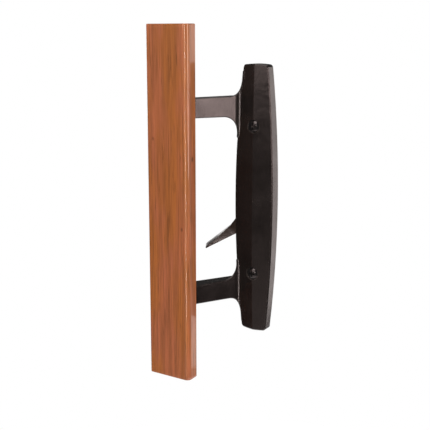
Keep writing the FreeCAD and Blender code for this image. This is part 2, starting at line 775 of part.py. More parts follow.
def make_thrust_washer():
    """A flat plastic washer between the hub and the strap."""
    bore = "thrust_washer_bore / 2"
    rim = "thrust_washer_width / 2"
    return turned("thrust_washer", [
        (bore, "-strap_front - thrust_washer_thickness", None),
        (rim, "-strap_front - thrust_washer_thickness", None),
        (rim, "-strap_front", None),
        (bore, "-strap_front", None),
    ])


def make_retaining_plate():
    """The pressed strap behind the hub, with its eye and two countersunk holes."""
    half = "retainer_width / 2"
    end = "(retainer_spacing / 2 + retainer_end)"
    round_end = "retainer_width / 2 - retainer_thickness"
    strap = prism("strap", [
        (f"-{half}", f"-{end}", round_end),
        (half, f"-{end}", round_end),
        (half, end, round_end),
        (f"-{half}", end, round_end),
    ], ("0", "1", "0"), "retainer_thickness", "0", y="-strap_front", roll="90")
    eye = peg("strap_eye", "retainer_eye", "strap_front", "strap_back")
    holes = [peg("strap_bearing", "rear_journal + 2 * bearing_clearance", "strap_front", "strap_back")]
    for end, sign in (("upper", "1"), ("lower", "-1")):
        z = f"{sign} * retainer_spacing / 2"
        holes.append(cone(f"strap_hole_{end}", "retainer_screw_shank", "retainer_screw_head",
                          "strap_front", "strap_back", z=z))
    return cut("retaining_plate", fused("strap_blank", strap, eye), fused("strap_holes", *holes))


def make_retaining_screws():
    """Small countersunk screws, flush with the back of the strap."""
    z = "retainer_spacing / 2"
    head = cone("strap_screw_head", "retainer_screw_shank", "retainer_screw_head",
                "strap_front", "strap_back", z=z)
    shank = peg("strap_screw_body", "retainer_screw_shank",
                "strap_back + retainer_screw_length", "strap_front", z=z)
    upper = fused("retaining_screw_upper", head, shank)
    return group("retaining_screws", upper, mirrored("retaining_screw_lower", upper))


pieces = {
    "base_casting": make_casting(),
    "wood_grip": make_grip(),
    "mounting_screws": make_mounting_screws(),
    "grip_screws": make_grip_screws(),
    "latch_lever": make_lever(),
    "drive_tailpiece": make_tailpiece(),
    "tailpiece_pin": make_tailpiece_pin(),
    "spring_washer": make_spring_washer(),
    "thrust_washer": make_thrust_washer(),
    "retaining_plate": make_retaining_plate(),
    "retaining_screws": make_retaining_screws(),
}
for name, piece in pieces.items():
    piece.Label = name
doc.recompute()

for item in doc.Objects:
    if "Invalid" in item.State or "Error" in item.State:
        raise RuntimeError(f"{item.Name} did not build: {item.State}")
for name, piece in pieces.items():
    if piece.Shape.isNull() or not piece.Shape.isValid():
        raise RuntimeError(f"{name} has no valid shape")

os.makedirs("parts", exist_ok=True)
for name, piece in pieces.items():
    piece.Shape.exportStep(f"parts/{name}.step")
    print(f"{name}: {len(piece.Shape.Solids)} solids, {piece.Shape.Volume:.1f} mm3")
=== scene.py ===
"""Finished look of the inside handle set of a sliding door.

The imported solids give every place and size. This file dresses them: a stained wooden grip, a
satin black casting, a latch lever, screws with cross recesses and cut threads, and plated steel
inside. It is laid out as an add-on with one operator for each piece or group of like pieces.
"""

import math

import bmesh
import bpy
import numpy
from bpy.props import FloatProperty, FloatVectorProperty, PointerProperty
from mathutils import Matrix, Vector, noise


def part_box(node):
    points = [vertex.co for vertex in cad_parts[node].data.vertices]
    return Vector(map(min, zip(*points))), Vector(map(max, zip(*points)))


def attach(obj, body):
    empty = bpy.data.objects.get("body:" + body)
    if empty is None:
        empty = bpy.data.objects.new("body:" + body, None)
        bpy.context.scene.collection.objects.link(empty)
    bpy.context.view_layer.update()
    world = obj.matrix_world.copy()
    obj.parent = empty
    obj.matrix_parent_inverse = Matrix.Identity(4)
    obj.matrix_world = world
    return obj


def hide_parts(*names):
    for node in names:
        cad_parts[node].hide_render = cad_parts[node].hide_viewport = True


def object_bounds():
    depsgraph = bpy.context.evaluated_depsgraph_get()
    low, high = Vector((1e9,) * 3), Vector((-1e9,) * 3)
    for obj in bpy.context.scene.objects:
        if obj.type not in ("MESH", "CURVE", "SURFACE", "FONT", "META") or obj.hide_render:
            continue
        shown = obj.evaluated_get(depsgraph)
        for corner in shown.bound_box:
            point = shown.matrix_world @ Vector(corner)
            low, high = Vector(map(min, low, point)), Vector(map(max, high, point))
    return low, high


bl_info = {
    "name": "Sliding Door Handle Set",
    "version": (1, 0, 0),
    "blender": (4, 5, 0),
    "location": "3D View > Sidebar > Handle Set",
    "description": "Dresses the solids of a sliding door's inside handle set",
    "category": "Object",
}

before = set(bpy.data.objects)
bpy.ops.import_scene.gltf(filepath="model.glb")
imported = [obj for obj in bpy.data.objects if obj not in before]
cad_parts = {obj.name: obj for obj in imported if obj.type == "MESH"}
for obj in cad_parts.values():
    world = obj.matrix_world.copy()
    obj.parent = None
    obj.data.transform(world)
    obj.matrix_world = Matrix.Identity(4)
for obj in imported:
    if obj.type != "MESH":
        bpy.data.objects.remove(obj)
solid_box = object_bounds()
grip_low, grip_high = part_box("wood_grip")
screw_low, screw_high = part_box("mounting_screws")
MM = 0.001
MERGE = 1e-6
CAST_CREASE = math.radians(32)
GRIP_CREASE = math.radians(40)
SMALL_CREASE = math.radians(35)
SMALL_EDGE_ANGLE = math.radians(50)
WHITE = (1.0, 1.0, 1.0)
WARM = (1.0, 0.92, 0.90)
SET_CENTRE = (-0.02, -0.02, 0.0)

# Each lamp's name, place, target, width and height, power in watts and colour
LAMPS = [
    ("key", (0.80, -0.09, 0.17), (-0.02, -0.02, 0.05), (0.36, 0.62), 7.5, (1.0, 0.92, 0.92)),
    ("back_side", (0.55, 0.78, -0.08), SET_CENTRE, (0.5, 0.9), 3.9, WARM),
    ("front_low", (-0.22, -0.95, -0.50), SET_CENTRE, (0.5, 0.3), 0.3, WARM),
    ("strip", (0.34, -1.18, -0.02), SET_CENTRE, (0.02, 1.0), 10.0, WHITE),
    ("back_left", (-0.95, 0.62, 0.16), SET_CENTRE, (0.5, 0.5), 3.5, WHITE),
    ("front", (-0.34, -1.10, 0.36), SET_CENTRE, (0.5, 0.5), 3.9, (1.0, 0.93, 0.92)),
    ("front_high", (0.0, -0.9, 1.0), SET_CENTRE, (0.8, 0.8), 16.0, WHITE),
    ("top", (0.0, 0.1, 1.3), SET_CENTRE, (1.2, 1.2), 12.0, WHITE),
]


def place_between(low, high, share):
    """The value at a share of the way from low to high."""
    return low + (high - low) * share


# Sizes and colours that a user would change

class GripSettings(bpy.types.PropertyGroup):
    """Sizes and colours of the wooden grip."""

    arris: FloatProperty(
        name="Arris", description="Rounding of the grip's long edges",
        default=1.1 * MM, min=0.0, unit="LENGTH")
    round_arris: FloatProperty(
        name="Round arris", description="Rounding of the front edge on the side of the plate",
        default=3.2 * MM, min=0.0, unit="LENGTH")
    end_arris: FloatProperty(
        name="End arris", description="Rounding of the edges round the square-cut ends",
        default=0.55 * MM, min=0.0, unit="LENGTH")
    wave: FloatProperty(
        name="Wave", description="How far planing and sanding leave the faces from flat",
        default=0.02 * MM, min=0.0, unit="LENGTH")
    stain: FloatVectorProperty(
        name="Stain", description="Colour of the stained wood between the dark fibres",
        default=(0.226, 0.068, 0.0165), subtype="COLOR", min=0.0, max=1.0)
    heart: FloatVectorProperty(
        name="Heart", description="Colour of the darker bands of growth",
        default=(0.145, 0.041, 0.0105), subtype="COLOR", min=0.0, max=1.0)
    blush: FloatVectorProperty(
        name="Blush", description="Colour of the redder patches, where the stain went in deeper",
        default=(0.235, 0.068, 0.032), subtype="COLOR", min=0.0, max=1.0)
    fibre: FloatVectorProperty(
        name="Fibre", description="Colour of the open pores and dark fibres",
        default=(0.062, 0.018, 0.006), subtype="COLOR", min=0.0, max=1.0)
    gloss: FloatProperty(
        name="Lacquer roughness", description="Roughness of the lacquer over the stain",
        default=0.34, min=0.0, max=1.0, subtype="FACTOR")


class CastingSettings(bpy.types.PropertyGroup):
    """Sizes and colours of the painted casting and lever."""

    edge: FloatProperty(
        name="Edge", description="Softening of the casting's edges by paint and polish",
        default=0.5 * MM, min=0.0, unit="LENGTH")
    lever_edge: FloatProperty(
        name="Lever edge", description="Softening of the lever's edges",
        default=0.35 * MM, min=0.0, unit="LENGTH")
    twist: FloatProperty(
        name="Twist", description="Turn of the lever's blade about its own length at the tip",
        default=math.radians(-27.0), subtype="ANGLE")
    thinning: FloatProperty(
        name="Thinning", description="Share of the blade's depth that is dressed off at the tip",
        default=0.3, min=0.0, max=0.9, subtype="FACTOR")
    pointing: FloatProperty(
        name="Pointing", description="Share of the blade's width that is dressed off at the tip",
        default=0.68, min=0.0, max=0.9, subtype="FACTOR")
    paint: FloatVectorProperty(
        name="Paint", description="Colour of the casting's paint",
        default=(0.0062, 0.0048, 0.0044), subtype="COLOR", min=0.0, max=1.0)
    lever_paint: FloatVectorProperty(
        name="Lever paint", description="Colour of the lever's paint",
        default=(0.016, 0.0105, 0.008), subtype="COLOR", min=0.0, max=1.0)
    rubbed: FloatVectorProperty(
        name="Rubbed", description="Colour where hands have rubbed the paint thin",
        default=(0.035, 0.028, 0.025), subtype="COLOR", min=0.0, max=1.0)
    lever_rubbed: FloatVectorProperty(
        name="Lever rubbed", description="Colour where thumbs have rubbed the lever's paint thin",
        default=(0.026, 0.019, 0.016), subtype="COLOR", min=0.0, max=1.0)
    roughness: FloatProperty(
        name="Paint roughness", description="Roughness of the satin paint",
        default=0.22, min=0.0, max=1.0, subtype="FACTOR")
    lever_roughness: FloatProperty(
        name="Lever roughness", description="Roughness of the lever's duller paint",
        default=0.38, min=0.0, max=1.0, subtype="FACTOR")


class ScrewSettings(bpy.types.PropertyGroup):
    """Sizes and colours of every screw."""

    pitch: FloatProperty(
        name="Pitch", description="Pitch of the mounting screws' thread",
        default=0.8 * MM, min=0.2 * MM, unit="LENGTH")
    thread_radius: FloatProperty(
        name="Thread radius", description="Outer radius of the mounting screws' thread",
        default=2.1 * MM, min=0.5 * MM, unit="LENGTH")
    head_paint: FloatVectorProperty(
        name="Head paint", description="Colour of the mounting screws",
        default=(0.005, 0.0045, 0.0045), subtype="COLOR", min=0.0, max=1.0)
    head_rubbed: FloatVectorProperty(
        name="Head rubbed", description="Colour of the recess's edges where a driver has rubbed",
        default=(0.03, 0.027, 0.025), subtype="COLOR", min=0.0, max=1.0)
    head_roughness: FloatProperty(
        name="Head roughness", description="Roughness of the mounting screws' glossy paint",
        default=0.14, min=0.0, max=1.0, subtype="FACTOR")
    plate: FloatVectorProperty(
        name="Plating", description="Colour of the plated steel inside",
        default=(0.62, 0.615, 0.58), subtype="COLOR", min=0.0, max=1.0)


class StageSettings(bpy.types.PropertyGroup):
    """Camera, floor and lights."""

    camera_place: FloatVectorProperty(
        name="Camera place", description="Where the camera stands",
        default=(0.253, -0.468, 0.110), subtype="TRANSLATION", unit="LENGTH")
    turn: FloatProperty(
        name="Turn", description="Camera's turn about the vertical",
        default=math.radians(31.6), subtype="ANGLE")
    tilt: FloatProperty(
        name="Tilt", description="Camera's tilt below the horizon",
        default=math.radians(10.7), subtype="ANGLE")
    lens: FloatProperty(
        name="Lens", description="Focal length on a sensor 36 mm wide",
        default=67.3, min=10.0, unit="CAMERA")
    rise: FloatProperty(
        name="Rise", description="Vertical shift of the lens, as a share of the picture",
        default=-0.07, min=-1.0, max=1.0, subtype="FACTOR")
    floor_drop: FloatProperty(
        name="Floor drop", description="Height of the grip's end above the floor",
        default=0.26, min=0.0, unit="LENGTH")
    floor_radius: FloatProperty(
        name="Floor radius", description="Radius of the round floor",
        default=0.42, min=0.1, unit="LENGTH")
    ambient: FloatProperty(
        name="Ambient", description="Strength of the even light from all round",
        default=0.36, min=0.0, max=1.0, subtype="FACTOR")
    gloss_dim: FloatProperty(
        name="Gloss dim", description="How much weaker that light is in reflections",
        default=0.28, min=0.0, max=1.0, subtype="FACTOR")
    floor: FloatVectorProperty(
        name="Floor", description="Colour of the floor",
        default=(0.93, 0.93, 0.93), subtype="COLOR", min=0.0, max=1.0)


def settings(name):
    """One group of settings of the scene."""
    return getattr(bpy.context.scene, name)


# Meshes

def new_piece(name, mesh):
    """An object at the origin, linked to the scene."""
    piece = bpy.data.objects.new(name, mesh)
    bpy.context.scene.collection.objects.link(piece)
    return piece


def from_bmesh(name, work):
    """A mesh piece from a bmesh, with its normals outwards."""
    bmesh.ops.recalc_face_normals(work, faces=work.faces[:])
    mesh = bpy.data.meshes.new(name)
    work.to_mesh(mesh)
    work.free()
    return new_piece(name, mesh)


def smooth_faces(piece, angle):
    """Smooth shading, with edges sharper than the angle left sharp."""
    piece.data.shade_smooth()
    piece.data.set_sharp_from_angle(angle=angle)


def crease_broad_faces(piece, angle, area):
    """Keep the edge between two broad faces crisp, and the shading of broad faces flat."""
    work = bmesh.new()
    work.from_mesh(piece.data)
    for edge in work.edges:
        broad = len(edge.link_faces) == 2 and all(face.calc_area() > area for face in edge.link_faces)
        if broad and edge.calc_face_angle() > angle:
            edge.smooth = False
    work.to_mesh(piece.data)
    work.free()
    weighted = piece.modifiers.new("flat_shading", "WEIGHTED_NORMAL")
    weighted.keep_sharp = True
    weighted.weight = 60
    return bake_modifiers(piece)


def bake_modifiers(piece):
    """Turn what the live modifiers make into the piece's own mesh, and remove them."""
    graph = bpy.context.evaluated_depsgraph_get()
    baked = bpy.data.meshes.new_from_object(piece.evaluated_get(graph))
    old = piece.data
    piece.modifiers.clear()
    piece.data = baked
    baked.name = old.name
    bpy.data.meshes.remove(old)
    return piece


def merged_copy(solid, name):
    """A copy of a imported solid, with its loose triangles joined into whole faces."""
    work = bmesh.new()
    work.from_mesh(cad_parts[solid].data)
    bmesh.ops.remove_doubles(work, verts=work.verts[:], dist=MERGE)
    flat = math.radians(0.3)
    bmesh.ops.dissolve_limit(work, angle_limit=flat, verts=work.verts[:], edges=work.edges[:])
    mesh = bpy.data.meshes.new(name)
    work.to_mesh(mesh)
    work.free()
    return new_piece(name, mesh)


def soften(piece, width, angle=math.radians(28)):
    """Round the sharp edges of a piece by a small amount."""
    bevel = piece.modifiers.new("edges", "BEVEL")
    bevel.width = width
    bevel.segments = 2
    bevel.limit_method = "ANGLE"
    bevel.angle_limit = angle
    bevel.use_clamp_overlap = True
    bevel.miter_outer = "MITER_ARC"
    return bake_modifiers(piece)


def boolean_cut(piece, cutter):
    """Cut one piece out of another for good."""
    cutting = piece.modifiers.new("cut", "BOOLEAN")
    cutting.operation = "DIFFERENCE"
    cutting.solver = "EXACT"
    cutting.object = cutter
    bake_modifiers(piece)
    mesh = cutter.data
    bpy.data.objects.remove(cutter)
    bpy.data.meshes.remove(mesh)
    return piece


def join_rings(work, lower, upper):
    """Faces between two closed rings that have the same number of corners."""
    for index in range(len(lower)):
        after = (index + 1) % len(lower)
        work.faces.new((lower[index], lower[after], upper[after], upper[index]))


def recess_cutter(places, span, slit, depth, inward):
    """Tapered crosses that cut a driver's recess at places on heads, along Y."""
    above_face = (-0.3, 1.12, 1.1)
    at_bottom = (1.0, 0.5, 0.8)
    work = bmesh.new()
    for place in places:
        rings = []
        for level, span_share, slit_share in (above_face, at_bottom):
            tip = span / 2 * span_share
            root = slit / 2 * slit_share
            quarter = [(root, tip), (root, root), (tip, root)]
            ring = []
            for turn in range(4):
                for x, z in quarter:
                    for quarter_turn in range(turn):
                        x, z = z, -x
                    offset = Vector((x, inward * depth * level, z))
                    ring.append(work.verts.new(Vector(place) + offset))
            rings.append(ring)
            work.faces.new(ring)
        join_rings(work, *rings)
    return from_bmesh("recess_cutter", work)


def dress(piece, body, slot, *nodes):
    """Put a finished piece on its body and in the place of its solids."""
    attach(piece, body)
    if nodes:
        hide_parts(*nodes)
    return piece


# Materials

def node(tree, kind, values=None, **options):
    """A shader or geometry node with its options set and its inputs filled by name."""
    made = tree.nodes.new(kind)
    for option, value in options.items():
        setattr(made, option, value)
    for key, value in (values or {}).items():
        socket = made.inputs[key]
        if isinstance(value, bpy.types.NodeSocket):
            tree.links.new(value, socket)
        else:
            socket.default_value = value
    return made


def ramp(tree, factor, stops):
    """A colour ramp from a list of positions and greys or colours."""
    made = tree.nodes.new("ShaderNodeValToRGB")
    tree.links.new(factor, made.inputs["Fac"])
    while len(made.color_ramp.elements) < len(stops):
        made.color_ramp.elements.new(0.5)
    for element, (place, colour) in zip(made.color_ramp.elements, stops):
        element.position = place
        tone = (colour,) * 3 if isinstance(colour, (int, float)) else tuple(colour)
        element.color = (*tone, 1.0)
    return made.outputs["Color"]


def mixed(tree, factor, first, second):
    """Two colours mixed by a factor."""
    made = tree.nodes.new("ShaderNodeMix")
    made.data_type = "RGBA"
    for index, value in ((0, factor), (6, first), (7, second)):
        socket = made.inputs[index]
        if isinstance(value, bpy.types.NodeSocket):
            tree.links.new(value, socket)
        elif index and len(value) == 3:
            socket.default_value = (*value, 1.0)
        else:
            socket.default_value = value
    return made.outputs[2]


def maths(tree, operation, *values):
    """The outcome of one sum on values or sockets."""
    made = tree.nodes.new("ShaderNodeMath")
    made.operation = operation
    for socket, value in zip(made.inputs, values):
        if isinstance(value, bpy.types.NodeSocket):
            tree.links.new(value, socket)
        else:
            socket.default_value = value
    return made.outputs[0]


def combined(tree, operation, first, second):
    """Two vectors put together one channel at a time."""
    made = node(tree, "ShaderNodeVectorMath", {0: first, 1: second}, operation=operation)
    return made.outputs[0]


def map_range(tree, value, low, high, start, end):
    """A value whose range from low to high becomes the range from start to end."""
    made = node(tree, "ShaderNodeMapRange", {"Value": value, 1: low, 2: high, 3: start, 4: end})
    return made.outputs[0]


def noise_value(tree, vector, scale, detail, roughness=0.5, distortion=0.0):
    """A noise texture's value at each place."""
    made = node(tree, "ShaderNodeTexNoise",
                {"Vector": vector, "Scale": scale, "Detail": detail, "Roughness": roughness,
                 "Distortion": distortion})
    return made.outputs[0]


def shade(colour, share):
    """A colour with every channel brought down to a share."""
    return tuple(channel * share for channel in colour)


def new_group(name, inputs, outputs):
    """An empty shader node group with named sockets, and its two end nodes."""
    group = bpy.data.node_groups.new(name, "ShaderNodeTree")
    for label, kind, default in inputs:
        socket = group.interface.new_socket(label, in_out="INPUT", socket_type=kind)
        if default is not None:
            socket.default_value = default
    for label, kind in outputs:
        group.interface.new_socket(label, in_out="OUTPUT", socket_type=kind)
    source = group.nodes.new("NodeGroupInput")
    target = group.nodes.new("NodeGroupOutput")
    return group, source, target


def mottle_group():
    """Cloudy unevenness of a painted or plated skin: a mask, and a fine height."""
    name = "skin_mottle"
    if name in bpy.data.node_groups:
        return bpy.data.node_groups[name]
    floats = "NodeSocketFloat"
    group, source, target = new_group(
        name,
        [("Vector", "NodeSocketVector", None), ("Cloud size", floats, 60.0),
         ("Grain size", floats, 1500.0), ("Streak", floats, 1.0)],
        [("Cloud", floats), ("Height", floats)])
    stretch = node(group, "ShaderNodeCombineXYZ", {"X": 1.0, "Y": 1.0, "Z": source.outputs["Streak"]})
    flowing = combined(group, "MULTIPLY", source.outputs["Vector"], stretch.outputs[0])
    cloud = noise_value(group, flowing, source.outputs["Cloud size"], detail=4.0, roughness=0.6,
                        distortion=0.3)
    grain = noise_value(group, source.outputs["Vector"], source.outputs["Grain size"], detail=2.0)
    group.links.new(cloud, target.inputs["Cloud"])
    group.links.new(grain, target.inputs["Height"])
    return group


def edge_group():
    """Where an edge is rubbed by hands, broken up by a mottle."""
    name = "rubbed_edge"
    if name in bpy.data.node_groups:
        return bpy.data.node_groups[name]
    floats = "NodeSocketFloat"
    group, source, target = new_group(
        name,
        [("Vector", "NodeSocketVector", None), ("Reach", floats, 0.0006),
         ("Patch size", floats, 160.0)],
        [("Rubbed", floats)])
    shape = node(group, "ShaderNodeNewGeometry")
    eased = node(group, "ShaderNodeBevel", {"Radius": source.outputs["Reach"]}, samples=4)
    likeness = node(group, "ShaderNodeVectorMath",
                    {0: shape.outputs["Normal"], 1: eased.outputs[0]}, operation="DOT_PRODUCT")
    edge = map_range(group, likeness.outputs["Value"], 0.995, 0.9, 0.0, 1.0)
    patch = noise_value(group, source.outputs["Vector"], source.outputs["Patch size"],
                        detail=3.0, roughness=0.6)
    broken = map_range(group, patch, 0.4, 0.65, 0.0, 1.0)
    result = maths(group, "MULTIPLY", edge, broken)
    group.links.new(result, target.inputs["Rubbed"])
    return group


def place_group(tree, group, values):
    """A shared group put in a tree, with some of its inputs filled."""
    made = tree.nodes.new("ShaderNodeGroup")
    made.node_tree = group
    for key, value in values.items():
        if isinstance(value, bpy.types.NodeSocket):
            tree.links.new(value, made.inputs[key])
        else:
            made.inputs[key].default_value = value
    return made


def new_material(name):
    """A material with one surface shader, and the object's own coordinates to read."""
    made = bpy.data.materials.new(name)
    made.use_nodes = True
    tree = made.node_tree
    shader = tree.nodes["Principled BSDF"]
    where = node(tree, "ShaderNodeTexCoord").outputs["Object"]
    return made, tree, shader, where


def painted(name, paint, rubbed, roughness, ripple=0.22, bump=0.12):
    """Satin paint on a die casting: cloudy gloss, a fine orange peel and rubbed edges."""
    made, tree, shader, where = new_material(name)
    skin = place_group(tree, mottle_group(), {"Vector": where})
    worn = place_group(tree, edge_group(), {"Vector": where})
    cloud = skin.outputs["Cloud"]
    tone = ramp(tree, cloud, [(0.3, shade(paint, 0.72)), (0.7, paint)])
    colour = mixed(tree, worn.outputs["Rubbed"], tone, rubbed)
    tree.links.new(colour, shader.inputs["Base Color"])
    gloss = map_range(tree, cloud, 0.3, 0.7, roughness - 0.06, roughness + 0.08)
    tree.links.new(gloss, shader.inputs["Roughness"])
    waves = node(tree, "ShaderNodeBump", {"Height": cloud, "Strength": ripple, "Distance": 0.0012})
    relief = node(tree, "ShaderNodeBump",
                  {"Height": skin.outputs["Height"], "Strength": bump, "Distance": 0.0002,
                   "Normal": waves.outputs[0]})
    tree.links.new(relief.outputs[0], shader.inputs["Normal"])
    shader.inputs["Specular IOR Level"].default_value = 0.3
    shader.inputs["Specular Tint"].default_value = (1.0, 0.82, 0.78, 1.0)
    return made


def plated(name, colour, roughness=0.28):
    """Bright zinc plate on steel, with a fine drawn texture."""
    made, tree, shader, where = new_material(name)
    skin = place_group(tree, mottle_group(), {"Vector": where, "Cloud size": 220.0, "Streak": 0.15})
    cloud = skin.outputs["Cloud"]
    tone = ramp(tree, cloud, [(0.32, shade(colour, 0.74)), (0.66, colour)])
    tree.links.new(tone, shader.inputs["Base Color"])
    gloss = map_range(tree, cloud, 0.3, 0.7, roughness - 0.06, roughness + 0.12)
    tree.links.new(gloss, shader.inputs["Roughness"])
    shader.inputs["Metallic"].default_value = 1.0
    relief = node(tree, "ShaderNodeBump",
                  {"Height": skin.outputs["Height"], "Strength": 0.15, "Distance": 0.0001})
    tree.links.new(relief.outputs[0], shader.inputs["Normal"])
    return made


def nylon(name):
    """Natural nylon of the thrust washer."""
    made, tree, shader, where = new_material(name)
    skin = place_group(tree, mottle_group(), {"Vector": where, "Cloud size": 300.0})
    tone = ramp(tree, skin.outputs["Cloud"], [(0.3, (0.74, 0.73, 0.67)), (0.7, (0.86, 0.85, 0.8))])
    tree.links.new(tone, shader.inputs["Base Color"])
    gloss = map_range(tree, skin.outputs["Height"], 0.3, 0.7, 0.38, 0.5)
    tree.links.new(gloss, shader.inputs["Roughness"])
    shader.inputs["Subsurface Weight"].default_value = 0.15
    return made


def grain_space(tree, where):
    """Places in the wood, bent a little so that no fibre runs dead straight."""
    slow = combined(tree, "MULTIPLY", where, (30.0, 30.0, 3.0))
    wander = node(tree, "ShaderNodeTexNoise", {"Vector": slow, "Scale": 1.0, "Detail": 2.0})
    drift = combined(tree, "MULTIPLY", wander.outputs["Color"], (0.006, 0.006, 0.0))
    return combined(tree, "ADD", where, drift)


def drawn_out(tree, vector, share):
    """Places that change slowly along the bar, so that a pattern is drawn out along the grain."""
    return combined(tree, "MULTIPLY", vector, (1.0, 1.0, share))


def growth_rings(tree, bent):
    """Bands from 0 to 1 round a pith that lies outside the bar."""
    pith_offset = (0.075, -0.045, 0.0)
    ring_rate = 2600.0
    pith = combined(tree, "ADD", drawn_out(tree, bent, 0.02), pith_offset)
    radius = node(tree, "ShaderNodeVectorMath", {0: pith}, operation="LENGTH")
    rings = maths(tree, "SINE", maths(tree, "MULTIPLY", radius.outputs["Value"], ring_rate))
    return maths(tree, "MULTIPLY_ADD", rings, 0.5, 0.5)


def stained_wood(name, look):
    """Stained and lacquered wood as a solid pattern, so that the ends show end grain."""
    made, tree, shader, where = new_material(name)
    bent = grain_space(tree, where)
    bands = growth_rings(tree, bent)
    fibres = noise_value(tree, drawn_out(tree, bent, 0.016), scale=1750.0, detail=4.0, roughness=0.6)
    broad = noise_value(tree, drawn_out(tree, bent, 0.05), scale=260.0, detail=4.0, roughness=0.6)
    seams = noise_value(tree, drawn_out(tree, bent, 0.07), scale=520.0, detail=3.0, roughness=0.6)
    patches = noise_value(tree, drawn_out(tree, where, 0.22), scale=85.0, detail=2.0)
    pores = node(tree, "ShaderNodeTexVoronoi",
                 {"Vector": drawn_out(tree, bent, 0.045), "Scale": 1100.0, "Randomness": 1.0})
    knots = node(tree, "ShaderNodeTexVoronoi",
                 {"Vector": drawn_out(tree, where, 0.6), "Scale": 55.0, "Randomness": 1.0})
    fine = ramp(tree, fibres, [(0.4, 0.0), (0.64, 1.0)])
    pore = map_range(tree, pores.outputs["Distance"], 0.12, 0.26, 1.0, 0.0)
    open_grain = map_range(tree, broad, 0.44, 0.62, 0.1, 1.0)
    pore_mask = maths(tree, "MULTIPLY", pore, open_grain)
    patch = ramp(tree, patches, [(0.42, 0.0), (0.62, 1.0)])
    band_strength = 0.3
    fibre_strength = 0.62
    pore_strength = 0.8
    # Growth bands, clouds of heartwood, fibres, pores, long seams and pin knots
    layers = [
        (maths(tree, "MULTIPLY", bands, band_strength), look.heart),
        (ramp(tree, broad, [(0.35, 0.0), (0.7, 0.4)]), look.heart),
        (maths(tree, "MULTIPLY", fine, fibre_strength), look.fibre),
        (maths(tree, "MULTIPLY", pore_mask, pore_strength), look.fibre),
        (ramp(tree, seams, [(0.62, 0.0), (0.7, 0.6)]), look.fibre),
        (map_range(tree, knots.outputs["Distance"], 0.03, 0.07, 0.85, 0.0), shade(look.fibre, 0.4)),
    ]
    colour = mixed(tree, patch, look.stain, look.blush)
    for strength, tone in layers:
        colour = mixed(tree, strength, colour, tone)
    tree.links.new(colour, shader.inputs["Base Color"])
    gloss = map_range(tree, fibres, 0.3, 0.7, look.gloss, look.gloss + 0.14)
    tree.links.new(gloss, shader.inputs["Roughness"])
    pore_depth = -1.0
    fibre_depth = -0.25
    depth = maths(tree, "MULTIPLY_ADD", pore_mask, pore_depth,
                  maths(tree, "MULTIPLY", fine, fibre_depth))
    relief = node(tree, "ShaderNodeBump", {"Height": depth, "Strength": 0.35, "Distance": 0.00015})
    tree.links.new(relief.outputs[0], shader.inputs["Normal"])
    shader.inputs["Specular Tint"].default_value = (1.0, 0.62, 0.3, 1.0)
    shader.inputs["Coat Weight"].default_value = 0.4
    shader.inputs["Coat Roughness"].default_value = 0.06
    return made


def material(name, make, *values):
    """A material by name, made the first time that it is asked for."""
    return bpy.data.materials.get(name) or make(name, *values)


def painted_casting():
    """Satin black paint, as cast and polished under it."""
    look = settings("casting_look")
    return material("satin_black", painted, look.paint, look.rubbed, look.roughness)


def painted_lever():
    """Dull brown paint that lies smoother than the casting's."""
    look = settings("casting_look")
    ripple, bump = 0.06, 0.04
    return material("satin_brown", painted, look.lever_paint, look.lever_rubbed,
                    look.lever_roughness, ripple, bump)


def painted_screw():
    """Glossy black paint on turned steel, which has no waves."""
    look = settings("screw_look")
    ripple, bump = 0.0, 0.04
    return material("gloss_black", painted, look.head_paint, look.head_rubbed,
                    look.head_roughness, ripple, bump)


def plated_steel():
    """Bright zinc plate, shared by every steel piece inside."""
    return material("zinc_plate", plated, settings("screw_look").plate)


def finish_piece(piece, finish, crease):
    """Smooth a piece up to its creases, and make one material its only finish."""
    smooth_faces(piece, crease)
    piece.data.materials.clear()
    piece.data.materials.append(finish)
    return piece


# Operators

class PieceOperator:
    """What every piece's operator shares."""

    bl_options = {"REGISTER", "UNDO"}


class HANDLE_OT_casting(PieceOperator, bpy.types.Operator):
    """Soften the casting's edges and give it satin paint"""

    bl_idname = "handle.casting"
    bl_label = "Casting"

    def execute(self, context):
        look = settings("casting_look")
        ridge_angle = math.radians(4)
        broad_area = 20 * MM * MM
        piece = merged_copy("base_casting", "escutcheon")
        soften(piece, look.edge)
        finish_piece(piece, painted_casting(), CAST_CREASE)
        crease_broad_faces(piece, ridge_angle, broad_area)
        dress(piece, "base", "casting_paint", "base_casting")
        return {"FINISHED"}


def bar_section(low, high, radii, steps=6, guard=0.2 * MM):
    """Points round a rectangle with its own rounding at each corner, front left corner first.

    A guard point beside each rounding keeps the flat faces' shading flat.
    """
    corners = [(low[0], low[1], 1, 1, math.pi), (high[0], low[1], -1, 1, 1.5 * math.pi),
               (high[0], high[1], -1, -1, 0.0), (low[0], high[1], 1, -1, 0.5 * math.pi)]
    points = []
    for (x, y, inward_x, inward_y, first), radius in zip(corners, radii):
        centre = Vector((x + inward_x * radius, y + inward_y * radius))
        turns = [first + 0.5 * math.pi * step / steps for step in range(steps + 1)]
        arc = [centre + Vector((math.cos(turn), math.sin(turn))) * radius for turn in turns]
        before = Vector((math.sin(turns[0]), -math.cos(turns[0]))) * guard
        after = Vector((-math.sin(turns[-1]), math.cos(turns[-1]))) * guard
        points += [arc[0] + before, *arc, arc[-1] + after]
    return points


def resampled(points, spacing):
    """The same closed outline with long straight runs divided."""
    result = []
    for index, point in enumerate(points):
        after = points[(index + 1) % len(points)]
        parts = max(1, round((after - point).length / spacing))
        result += [point.lerp(after, part / parts) for part in range(parts)]
    return result


